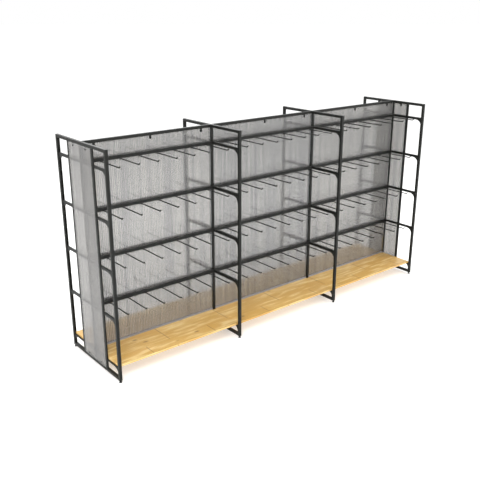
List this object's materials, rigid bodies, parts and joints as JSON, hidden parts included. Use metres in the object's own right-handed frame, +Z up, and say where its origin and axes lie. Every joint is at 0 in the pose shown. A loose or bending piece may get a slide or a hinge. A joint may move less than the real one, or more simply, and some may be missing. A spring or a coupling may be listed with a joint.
{
  "type": "tool wall rack",
  "caption": "Free-standing double-sided tool wall: steel tube frames, frosted fluted back sheets, rails with sliding wire hooks and a timber shelf.",
  "frame": {"origin": "on the floor, in the middle of the rack's footprint", "axes": "+X along the rack, -Y out of the front face, +Z up"},
  "size_m": [3.7356, 0.821, 1.9],
  "materials": {
    "frame_steel": "anthracite powder coat, satin",
    "hook_steel": "anthracite powder coat on wire, satin",
    "polycarbonate": "frosted twin-wall polycarbonate",
    "shelf_wood": "clear-lacquered edge-glued pine",
    "sheet_channel": "satin anodised",
    "zinc_steel": "zinc-plated",
    "black_plastic": "moulded polyethylene",
    "foot_steel": "zinc-plated stem on a dark pad"
  },
  "bodies": {
    "rack": {"front_post_1": "frame_steel", "back_post_1": "frame_steel", "inner_posts_1": "frame_steel", "top_rail_1": "frame_steel", "base_rail_1": "frame_steel", "arms_1": "frame_steel", "hook_rails_1": "frame_steel", "front_post_2": "frame_steel", "back_post_2": "frame_steel", "centre_post_2": "frame_steel", "top_rail_2": "frame_steel", "base_rail_2": "frame_steel", "arms_2": "frame_steel", "hook_rails_2": "frame_steel", "front_post_3": "frame_steel", "back_post_3": "frame_steel", "centre_post_3": "frame_steel", "top_rail_3": "frame_steel", "base_rail_3": "frame_steel", "arms_3": "frame_steel", "hook_rails_3": "frame_steel", "front_post_4": "frame_steel", "back_post_4": "frame_steel", "inner_posts_4": "frame_steel", "top_rail_4": "frame_steel", "base_rail_4": "frame_steel", "arms_4": "frame_steel", "hook_rails_4": "frame_steel", "wall_sheet_1": "polycarbonate", "shelf_boards_1": "shelf_wood", "wall_sheet_2": "polycarbonate", "shelf_boards_2": "shelf_wood", "wall_sheet_3": "polycarbonate", "shelf_boards_3": "shelf_wood", "end_sheet_left": "polycarbonate", "end_sheet_right": "polycarbonate", "top_beams": "frame_steel", "sheet_feet": "sheet_channel", "panel_tabs": "frame_steel", "panel_bolts": "zinc_steel", "rail_plugs": "black_plastic", "rail_screws": "zinc_steel", "post_caps": "black_plastic", "foot_inserts": "zinc_steel"},
    "hooks_front_1": {"hooks_front_1": "hook_steel"},
    "hooks_back_1": {"hooks_back_1": "hook_steel"},
    "hooks_front_2": {"hooks_front_2": "hook_steel"},
    "hooks_back_2": {"hooks_back_2": "hook_steel"},
    "hooks_front_3": {"hooks_front_3": "hook_steel"},
    "hooks_back_3": {"hooks_back_3": "hook_steel"},
    "hooks_front_4": {"hooks_front_4": "hook_steel"},
    "hooks_back_4": {"hooks_back_4": "hook_steel"},
    "levelling_foot_front_1": {"levelling_foot_front_1": "foot_steel"},
    "levelling_foot_back_1": {"levelling_foot_back_1": "foot_steel"},
    "levelling_foot_front_2": {"levelling_foot_front_2": "foot_steel"},
    "levelling_foot_back_2": {"levelling_foot_back_2": "foot_steel"},
    "levelling_foot_front_3": {"levelling_foot_front_3": "foot_steel"},
    "levelling_foot_back_3": {"levelling_foot_back_3": "foot_steel"},
    "levelling_foot_front_4": {"levelling_foot_front_4": "foot_steel"},
    "levelling_foot_back_4": {"levelling_foot_back_4": "foot_steel"}
  },
  "joints": [
    {"name": "slide_hooks_front_1", "type": "slide", "parent": "rack", "child": "hooks_front_1", "axis": [1, 0, 0], "range_m": [-0.12, 0.04]},
    {"name": "slide_hooks_back_1", "type": "slide", "parent": "rack", "child": "hooks_back_1", "axis": [1, 0, 0], "range_m": [-0.04, 0.12]},
    {"name": "slide_hooks_front_2", "type": "slide", "parent": "rack", "child": "hooks_front_2", "axis": [1, 0, 0], "range_m": [-0.12, 0.04]},
    {"name": "slide_hooks_back_2", "type": "slide", "parent": "rack", "child": "hooks_back_2", "axis": [1, 0, 0], "range_m": [-0.04, 0.12]},
    {"name": "slide_hooks_front_3", "type": "slide", "parent": "rack", "child": "hooks_front_3", "axis": [1, 0, 0], "range_m": [-0.12, 0.04]},
    {"name": "slide_hooks_back_3", "type": "slide", "parent": "rack", "child": "hooks_back_3", "axis": [1, 0, 0], "range_m": [-0.04, 0.12]},
    {"name": "slide_hooks_front_4", "type": "slide", "parent": "rack", "child": "hooks_front_4", "axis": [1, 0, 0], "range_m": [-0.12, 0.04]},
    {"name": "slide_hooks_back_4", "type": "slide", "parent": "rack", "child": "hooks_back_4", "axis": [1, 0, 0], "range_m": [-0.04, 0.12]},
    {"name": "adjust_levelling_foot_front_1", "type": "slide", "parent": "rack", "child": "levelling_foot_front_1", "axis": [0, 0, -1], "range_m": [0, 0.015]},
    {"name": "adjust_levelling_foot_back_1", "type": "slide", "parent": "rack", "child": "levelling_foot_back_1", "axis": [0, 0, -1], "range_m": [0, 0.015]},
    {"name": "adjust_levelling_foot_front_2", "type": "slide", "parent": "rack", "child": "levelling_foot_front_2", "axis": [0, 0, -1], "range_m": [0, 0.015]},
    {"name": "adjust_levelling_foot_back_2", "type": "slide", "parent": "rack", "child": "levelling_foot_back_2", "axis": [0, 0, -1], "range_m": [0, 0.015]},
    {"name": "adjust_levelling_foot_front_3", "type": "slide", "parent": "rack", "child": "levelling_foot_front_3", "axis": [0, 0, -1], "range_m": [0, 0.015]},
    {"name": "adjust_levelling_foot_back_3", "type": "slide", "parent": "rack", "child": "levelling_foot_back_3", "axis": [0, 0, -1], "range_m": [0, 0.015]},
    {"name": "adjust_levelling_foot_front_4", "type": "slide", "parent": "rack", "child": "levelling_foot_front_4", "axis": [0, 0, -1], "range_m": [0, 0.015]},
    {"name": "adjust_levelling_foot_back_4", "type": "slide", "parent": "rack", "child": "levelling_foot_back_4", "axis": [0, 0, -1], "range_m": [0, 0.015]}
  ]
}
